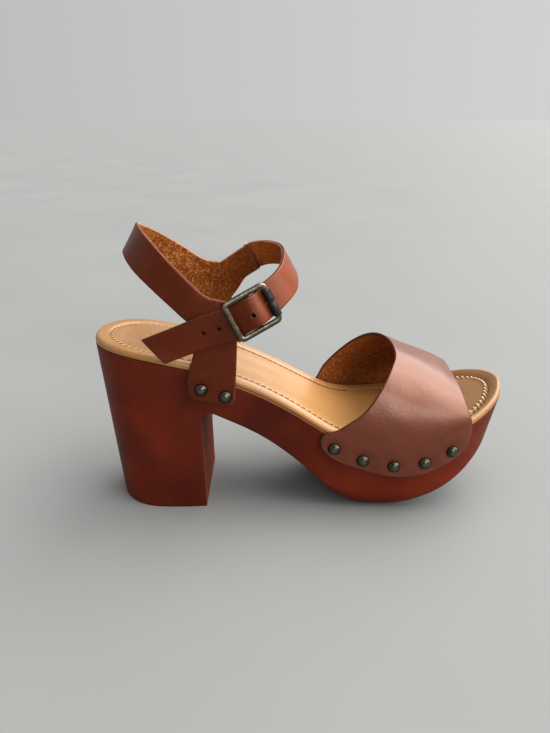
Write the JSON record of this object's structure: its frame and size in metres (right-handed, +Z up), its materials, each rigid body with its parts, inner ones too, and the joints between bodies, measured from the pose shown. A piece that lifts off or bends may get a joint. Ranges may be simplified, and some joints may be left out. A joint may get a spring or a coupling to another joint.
{
  "type": "platform sandal",
  "caption": "Right platform sandal: wood-look block heel and platform in one piece, padded insole, nailed leather vamp and a buckled ankle strap.",
  "frame": {"origin": "on the floor under the middle of the shoe's length and width", "axes": "+X from heel to toe, +Z up, lateral side -Y, medial side +Y"},
  "size_m": [0.241, 0.0906, 0.1639],
  "materials": {
    "sole_wood": "satin stained wood",
    "insole_leather": "smooth tan leather",
    "upper_leather": "smooth waxed leather outside, napped inside",
    "buckle_metal": "antique brass",
    "roller_metal": "dark satin metal",
    "stud_metal": "dark gunmetal"
  },
  "bodies": {
    "root": {"platform_sole": "sole_wood", "footbed": "insole_leather", "vamp": "upper_leather", "ankle_strap": "upper_leather", "instep_strap": "upper_leather", "buckle_frame": "buckle_metal", "buckle_roller_upper": "roller_metal", "buckle_roller_lower": "roller_metal", "vamp_stud_lateral_1": "stud_metal", "vamp_stud_lateral_2": "stud_metal", "vamp_stud_lateral_3": "stud_metal", "vamp_stud_lateral_4": "stud_metal", "vamp_stud_lateral_5": "stud_metal", "vamp_stud_medial_1": "stud_metal", "vamp_stud_medial_2": "stud_metal", "vamp_stud_medial_3": "stud_metal", "vamp_stud_medial_4": "stud_metal", "vamp_stud_medial_5": "stud_metal", "tab_stud_lateral_1": "stud_metal", "tab_stud_lateral_2": "stud_metal", "tab_stud_medial_1": "stud_metal", "tab_stud_medial_2": "stud_metal"}
  },
  "joints": []
}
